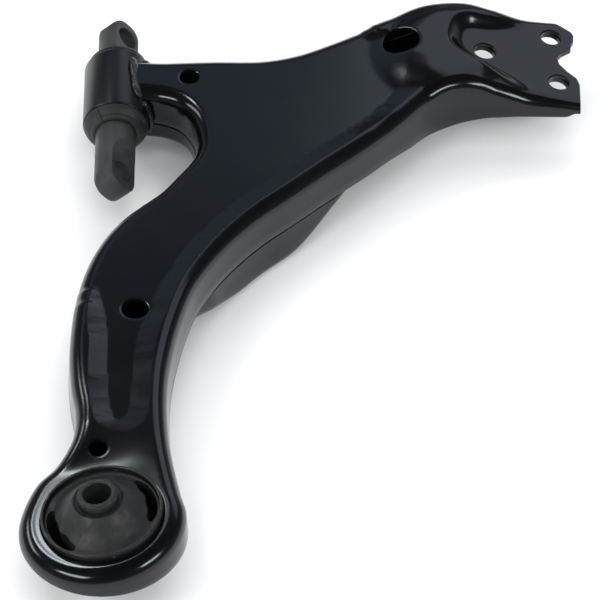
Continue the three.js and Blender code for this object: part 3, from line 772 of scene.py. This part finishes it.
shell_in = REAR_SHELL_RADIUS - REAR_SHELL_WALL
verts, faces = turned(filleted([
    (shell_in, REAR_SHELL_BOTTOM), (REAR_SHELL_RADIUS, REAR_SHELL_BOTTOM),
    (REAR_SHELL_RADIUS, 0.6, 0.3),
    (REAR_SHELL_RADIUS + 0.25, 1.2, 0.3), (REAR_SHELL_RADIUS + 0.25, REAR_SHELL_TOP, 0.8),
    (shell_in, REAR_SHELL_TOP, 0.6)], 0.5), TURN)
rear_shell = build("rear_bush_can", in_eye(verts), faces)

verts, faces = turned(filleted([
    (REAR_SLEEVE_BORE, REAR_SLEEVE_BOTTOM, 0.6), (REAR_SLEEVE_RADIUS, REAR_SLEEVE_BOTTOM, 0.8),
    (REAR_SLEEVE_RADIUS, REAR_SLEEVE_TOP, 1.3), (REAR_SLEEVE_BORE, REAR_SLEEVE_TOP, 1.0)],
    0.6), TURN)
rear_sleeve = build("rear_bush_steel_sleeve", in_eye(verts), faces)


def rear_rubber_piece():
    """Domed block with a blind crescent void on each side."""
    inner, outer = REAR_SLEEVE_RADIUS + 0.1, shell_in - 0.1
    profile = filleted([
        (inner, -31, 0.6), (inner + 6, -29, 2), (outer, -26, 1), (outer, 1.6, 0.8),
        (30.5, 1.5, 1.5), (27.5, 3.0, 3), (23, 6.4, 4), (18.2, 11.6, 3), (15.2, 14.8, 1.4),
        (13.4, 13.4, 0.6), (inner, 13.2, 0.3)], 0.6)
    fine = []
    for a, b in zip(profile, np.roll(profile, -1, 0)):
        steps = max(1, int(np.linalg.norm(b - a) / 1.6))
        fine += [a + (b - a) * k / steps for k in range(steps)]
    verts, faces = turned(np.array(fine), TURN)
    rubber = build("rear_bush_rubber_dome", in_eye(verts), faces)
    share = np.sin(np.linspace(-math.pi / 2, math.pi / 2, 33))
    swell = (1 - share ** 4) ** 0.5
    ripple = 0.5 * np.sin(share * 9 + 0.7) * swell
    for turn in (0, math.radians(188)):
        arc = np.radians(16.5 + 35.5 * share) + turn
        outer_arc = [(r * math.cos(a), r * math.sin(a)) for r, a in zip(30 + 2.6 * swell, arc)]
        inner = zip((29.6 - 3.3 * swell + ripple)[-2:0:-1], arc[-2:0:-1])
        inner_arc = [(r * math.cos(a), r * math.sin(a)) for r, a in inner]
        verts, faces = prism(outer_arc + inner_arc, -20, 30)
        cut(rubber, in_eye(verts), faces)
    soften(rubber, 0.7, 40, 3, 50)
    return rubber


rear_rubber = rear_rubber_piece()

# ---- Materials ------------------------------------------------------------------------


class Nodes:
    """Short spellings for building one material's node tree."""

    def __init__(self, name):
        self.material = bpy.data.materials.new(name)
        self.material.use_nodes = True
        self.tree = self.material.node_tree
        self.shader = self.tree.nodes["Principled BSDF"]
        self.coords = self.tree.nodes.new("ShaderNodeTexCoord").outputs["Object"]

    def link(self, a, b):
        self.tree.links.new(a, b)

    def noise(self, scale, detail=3.0, roughness=0.5, stretch=None):
        node = self.tree.nodes.new("ShaderNodeTexNoise")
        node.inputs["Scale"].default_value = scale
        node.inputs["Detail"].default_value = detail
        node.inputs["Roughness"].default_value = roughness
        source = self.coords
        if stretch:
            mapping = self.tree.nodes.new("ShaderNodeMapping")
            mapping.inputs["Scale"].default_value = stretch
            self.link(self.coords, mapping.inputs["Vector"])
            source = mapping.outputs["Vector"]
        self.link(source, node.inputs["Vector"])
        return node.outputs["Fac"]

    def ramp(self, value, stops):
        node = self.tree.nodes.new("ShaderNodeValToRGB")
        ramp = node.color_ramp
        while len(ramp.elements) < len(stops):
            ramp.elements.new(0.5)
        for element, (at, colour) in zip(ramp.elements, stops):
            element.position = at
            element.color = (*colour, 1) if isinstance(colour, tuple) else (*[colour] * 3, 1)
        self.link(value, node.inputs["Fac"])
        return node.outputs["Color"]

    def mix(self, fac, a, b):
        node = self.tree.nodes.new("ShaderNodeMix")
        node.data_type = "RGBA"
        self.link(fac, node.inputs[0])
        for socket, value in ((node.inputs[6], a), (node.inputs[7], b)):
            if isinstance(value, tuple):
                socket.default_value = (*value, 1)
            else:
                self.link(value, socket)
        return node.outputs[2]

    def bump(self, layers):
        last = None
        for height, strength, distance in layers:
            node = self.tree.nodes.new("ShaderNodeBump")
            node.inputs["Strength"].default_value = strength
            node.inputs["Distance"].default_value = distance
            self.link(height, node.inputs["Height"])
            if last:
                self.link(last, node.inputs["Normal"])
            last = node.outputs["Normal"]
        self.link(last, self.shader.inputs["Normal"])


def paint_material(name="black_paint", dull=0.0):
    m = Nodes(name)
    cloud = m.noise(14, 4, 0.6)
    specks = m.ramp(m.noise(900, 2, 0.6), [(0.0, 0.0), (0.70, 0.0), (0.78, 1.0)])
    tone = m.ramp(cloud, [(0.3, (0.0016, 0.0017, 0.0020)), (0.7, (0.0026, 0.0027, 0.0031))])
    m.link(m.mix(specks, tone, (0.012, 0.012, 0.014)), m.shader.inputs["Base Color"])
    gloss = [(0.3, 0.13 + dull), (0.7, 0.19 + dull)]
    m.link(m.ramp(m.noise(26, 5, 0.6), gloss), m.shader.inputs["Roughness"])
    m.shader.inputs["Specular IOR Level"].default_value = 0.42
    m.shader.inputs["Specular Tint"].default_value = (0.84, 0.95, 1.0, 1.0)
    m.bump([(m.noise(120, 2, 0.5), 0.06, 0.0003), (m.noise(700, 2, 0.5), 0.03, 0.0002)])
    return m.material


def weld_material():
    m = Nodes("weld_bead")
    tone = m.ramp(m.noise(180, 4, 0.6),
                  [(0.35, (0.005, 0.005, 0.006)), (0.7, (0.022, 0.022, 0.024))])
    m.link(tone, m.shader.inputs["Base Color"])
    m.link(m.ramp(m.noise(240, 3, 0.5), [(0.3, 0.18), (0.7, 0.42)]), m.shader.inputs["Roughness"])
    m.bump([(m.noise(260, 4, 0.6), 0.5, 0.0008), (m.noise(900, 2, 0.5), 0.25, 0.0003)])
    return m.material


def forged_material():
    m = Nodes("forged_steel")
    cloud = m.noise(45, 5, 0.65)
    tone = m.ramp(cloud, [(0.3, (0.016, 0.017, 0.019)), (0.55, (0.026, 0.028, 0.031)),
                          (0.75, (0.040, 0.042, 0.045))])
    scuffs = m.ramp(m.noise(120, 6, 0.7, (1, 2.6, 1)), [(0.0, 0.0), (0.66, 0.0), (0.74, 1.0)])
    m.link(m.mix(scuffs, tone, (0.085, 0.088, 0.092)), m.shader.inputs["Base Color"])
    m.link(m.ramp(m.noise(90, 4, 0.6), [(0.3, 0.42), (0.7, 0.62)]), m.shader.inputs["Roughness"])
    m.shader.inputs["Metallic"].default_value = 0.15
    m.bump([(m.noise(420, 4, 0.6), 0.22, 0.0005), (m.noise(70, 3, 0.5), 0.15, 0.0010)])
    return m.material


def bush_steel_material():
    m = Nodes("bush_steel")
    tone = m.ramp(m.noise(60, 5, 0.6),
                  [(0.3, (0.005, 0.005, 0.0055)), (0.7, (0.013, 0.013, 0.014))])
    rubbed = m.ramp(m.noise(300, 4, 0.7), [(0.0, 0.0), (0.62, 0.0), (0.72, 1.0)])
    m.link(m.mix(rubbed, tone, (0.070, 0.070, 0.072)), m.shader.inputs["Base Color"])
    m.link(m.ramp(m.noise(130, 4, 0.6), [(0.3, 0.28), (0.7, 0.48)]), m.shader.inputs["Roughness"])
    m.shader.inputs["Metallic"].default_value = 0.25
    m.bump([(m.noise(500, 3, 0.6), 0.15, 0.0004)])
    return m.material


def sleeve_steel_material():
    m = Nodes("sleeve_steel")
    tone = m.ramp(m.noise(80, 5, 0.6),
                  [(0.3, (0.008, 0.009, 0.009)), (0.7, (0.017, 0.018, 0.018))])
    m.link(tone, m.shader.inputs["Base Color"])
    m.link(m.ramp(m.noise(150, 4, 0.6), [(0.3, 0.38), (0.7, 0.56)]), m.shader.inputs["Roughness"])
    m.shader.inputs["Metallic"].default_value = 0.2
    m.bump([(m.noise(480, 3, 0.6), 0.18, 0.0004)])
    return m.material


def rubber_material():
    m = Nodes("bush_rubber")
    tone = m.ramp(m.noise(60, 5, 0.65),
                  [(0.3, (0.006, 0.006, 0.0065)), (0.7, (0.011, 0.0115, 0.012))])
    bloom = m.ramp(m.noise(85, 6, 0.72), [(0.0, 0.0), (0.56, 0.0), (0.72, 1.0)])
    m.link(m.mix(bloom, tone, (0.032, 0.033, 0.035)), m.shader.inputs["Base Color"])
    m.link(m.ramp(m.noise(140, 4, 0.6), [(0.3, 0.42), (0.7, 0.68)]), m.shader.inputs["Roughness"])
    m.bump([(m.noise(650, 4, 0.6), 0.25, 0.0005), (m.noise(120, 4, 0.6), 0.20, 0.0010)])
    return m.material


paint, beads = paint_material(), weld_material()
tube_paint = paint_material("tube_paint", 0.15)
forged, bush_steel = forged_material(), bush_steel_material()
sleeve_steel, rubber = sleeve_steel_material(), rubber_material()

# ---- Each piece's body, finish and CAD node -------------------------------------------

PLAN = [
    (upper, "arm", "black_paint", paint, "upper_shell"),
    (lower, "arm", "black_paint", paint, "lower_shell"),
    (tube, "arm", "black_paint", tube_paint, "front_tube"),
    (bush_sleeve, "arm", "bush_steel", bush_steel, "front_bush_sleeve"),
    (front_rubber, "arm", "bush_rubber", rubber, "front_bush_rubber"),
    (pin, "front_pin", "forged_steel", forged, "front_bush_pin"),
    (weld_top, "arm", "weld_bead", beads, "tube_weld_top"),
    (weld_near, "arm", "weld_bead", beads, "tube_weld_near"),
    (weld_far, "arm", "weld_bead", beads, "tube_weld_far"),
    (weld_bottom, "arm", "weld_bead", beads, "tube_weld_bottom"),
    (collar, "arm", "black_paint", paint, "rear_eye_collar"),
    (rear_shell, "arm", "bush_steel", bush_steel, "rear_bush_outer_shell"),
    (rear_sleeve, "rear_sleeve", "sleeve_steel", sleeve_steel, "rear_bush_inner_sleeve"),
    (rear_rubber, None, "bush_rubber", rubber, "rear_bush_rubber"),
]
for piece, body, slot, material, node in PLAN:
    piece.data.materials.clear()
    piece.data.materials.append(material)
    if body:
        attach(piece, body)
    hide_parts(node)


def to_point(p):
    return tuple(float(v) for v in to_row([p])[0])


# The rubber is bonded to the can at its rim and to the sleeve at its bore, so its share of
# the sleeve's motion falls with the radius.
to_point(in_eye(np.array([[0.0, 0, -30]]))[0])
to_point(in_eye(np.array([[0.0, 0, 12]]))[0])
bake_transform(rear_rubber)
co = np.empty(len(rear_rubber.data.vertices) * 3)
rear_rubber.data.vertices.foreach_get("co", co)
co = (co.reshape(-1, 3) - ORIGIN) * 1000 - EYE
axis = np.array([math.sin(EYE_TILT), 0, math.cos(EYE_TILT)])
radial = np.linalg.norm(co - np.outer(co @ axis, axis), axis=1)
share = 1 - smoothstep(radial, REAR_SLEEVE_RADIUS + 1, 32)

# ---- Floor, light and camera ----------------------------------------------------------


def floor_piece():
    mesh = bpy.data.meshes.new("floor")
    size, cells = 4.0, 8
    grid = np.linspace(-size, size, cells + 1)
    verts = [(x, y, -0.0002) for y in grid for x in grid]
    faces = [(j * (cells + 1) + i, j * (cells + 1) + i + 1, (j + 1) * (cells + 1) + i + 1,
              (j + 1) * (cells + 1) + i) for j in range(cells) for i in range(cells)]
    mesh.from_pydata(verts, [], faces)
    floor = bpy.data.objects.new("floor", mesh)
    bpy.context.scene.collection.objects.link(floor)
    m = Nodes("pale_floor")
    tone = m.ramp(m.noise(3, 2, 0.5), [(0.3, (0.86, 0.865, 0.87)), (0.7, (0.88, 0.885, 0.89))])
    m.link(tone, m.shader.inputs["Base Color"])
    m.shader.inputs["Roughness"].default_value = 0.85
    m.shader.inputs["Specular IOR Level"].default_value = 0.2
    mesh.materials.append(m.material)
    return floor


floor_piece()

world = bpy.data.worlds.new("studio")
bpy.context.scene.world = world
world.use_nodes = True
sky = world.node_tree
sky_coords = sky.nodes.new("ShaderNodeTexCoord")
sky_split = sky.nodes.new("ShaderNodeSeparateXYZ")
sky_ramp = sky.nodes.new("ShaderNodeValToRGB")
sky.links.new(sky_coords.outputs["Generated"], sky_split.inputs[0])
sky.links.new(sky_split.outputs["Z"], sky_ramp.inputs["Fac"])
sky.links.new(sky_ramp.outputs["Color"], sky.nodes["Background"].inputs["Color"])
SKY = [(0.0, (0.50, 0.51, 0.54)), (0.10, (0.30, 0.31, 0.34)), (0.35, (0.10, 0.11, 0.13)),
       (0.75, (0.07, 0.08, 0.10)), (1.0, (0.04, 0.045, 0.055))]
while len(sky_ramp.color_ramp.elements) < len(SKY):
    sky_ramp.color_ramp.elements.new(0.5)
for element, (at, colour) in zip(sky_ramp.color_ramp.elements, SKY):
    element.position = at
    element.color = (*colour, 1)


def area_light(name, width, height, energy, colour, place):
    """Rectangular light that the camera doesn't see, pointing straight down."""
    light = bpy.data.lights.new(name, "AREA")
    light.shape = "RECTANGLE"
    light.size, light.size_y = width, height
    light.energy = energy
    light.color = colour
    lamp = bpy.data.objects.new(name, light)
    lamp.location = place
    lamp.visible_camera = False
    bpy.context.scene.collection.objects.link(lamp)
    return lamp


def aim_at_middle(lamp):
    lamp.rotation_euler = lamp.location.to_track_quat("Z", "Y").to_euler()


def softbox(name, azimuth, elevation, distance, width, height, radiance, colour):
    """Light facing the middle of the part; radiance in W per m2 per sr."""
    a, e = math.radians(azimuth), math.radians(elevation)
    toward = Vector((math.cos(e) * math.cos(a), math.cos(e) * math.sin(a), math.sin(e)))
    energy = radiance * math.pi * width * height
    aim_at_middle(area_light(name, width, height, energy, colour, toward * distance))


def fill(name, place, size, power):
    """Broad light that brightens matt surfaces and stays out of the gloss."""
    lamp = area_light(name, size, size, power, (1.0, 1.0, 1.0), place)
    aim_at_middle(lamp)
    lamp.visible_glossy = False


def panel(name, low, high, height, radiance, colour):
    """Level glowing ceiling panel that the gloss sees, between two corners in mm."""
    width, length = (high[0] - low[0]) / 1000, (high[1] - low[1]) / 1000
    middle = ((low[0] + high[0]) / 2, (low[1] + high[1]) / 2, height)
    energy = radiance * math.pi * width * length
    area_light(name, width, length, energy, colour, to_point(middle))


fill("fill_front", (0.2, -1.4, 2.4), 2.4, 42)
fill("fill_back", (0.1, 1.6, 2.4), 2.4, 42)
fill("fill_low_left", (-1.9, -1.0, 0.9), 1.2, 9)
fill("fill_low_right", (1.9, -1.0, 0.9), 1.2, 11)
panel("ceiling_leg", (-600, 690), (150, 790), 900, 0.16, (0.72, 0.86, 1.05))
panel("ceiling_web", (-600, 790), (150, 1500), 900, 0.34, (0.70, 0.86, 1.08))
panel("ceiling_tip", (150, 470), (1000, 1800), 900, 1.10, (0.88, 0.92, 1.0))
softbox("softbox_left", -140, 37, 1.3, 0.62, 0.18, 15.0, (1.0, 1.0, 0.97))
softbox("softbox_far_left", 156, 33, 1.3, 0.6, 0.18, 7.0, (1.0, 1.0, 0.97))
softbox("softbox_right", -42, 38, 1.5, 0.62, 0.24, 16.0, (1.0, 1.0, 0.97))
softbox("kicker", 128, 51, 1.3, 0.16, 0.16, 22.0, (1.0, 1.0, 1.0))

camera = bpy.data.cameras.new("camera")
camera.lens = 360
camera.sensor_width = 36
camera.clip_end = 50
viewer = bpy.data.objects.new("camera", camera)
viewer.location = Vector(to_point(VIEW_PLACE))
viewer.rotation_euler = (math.radians(90 - VIEW_ELEVATION), 0, 0)
bpy.context.scene.collection.objects.link(viewer)
bpy.context.scene.camera = viewer
bpy.context.scene.view_settings.view_transform = "Standard"
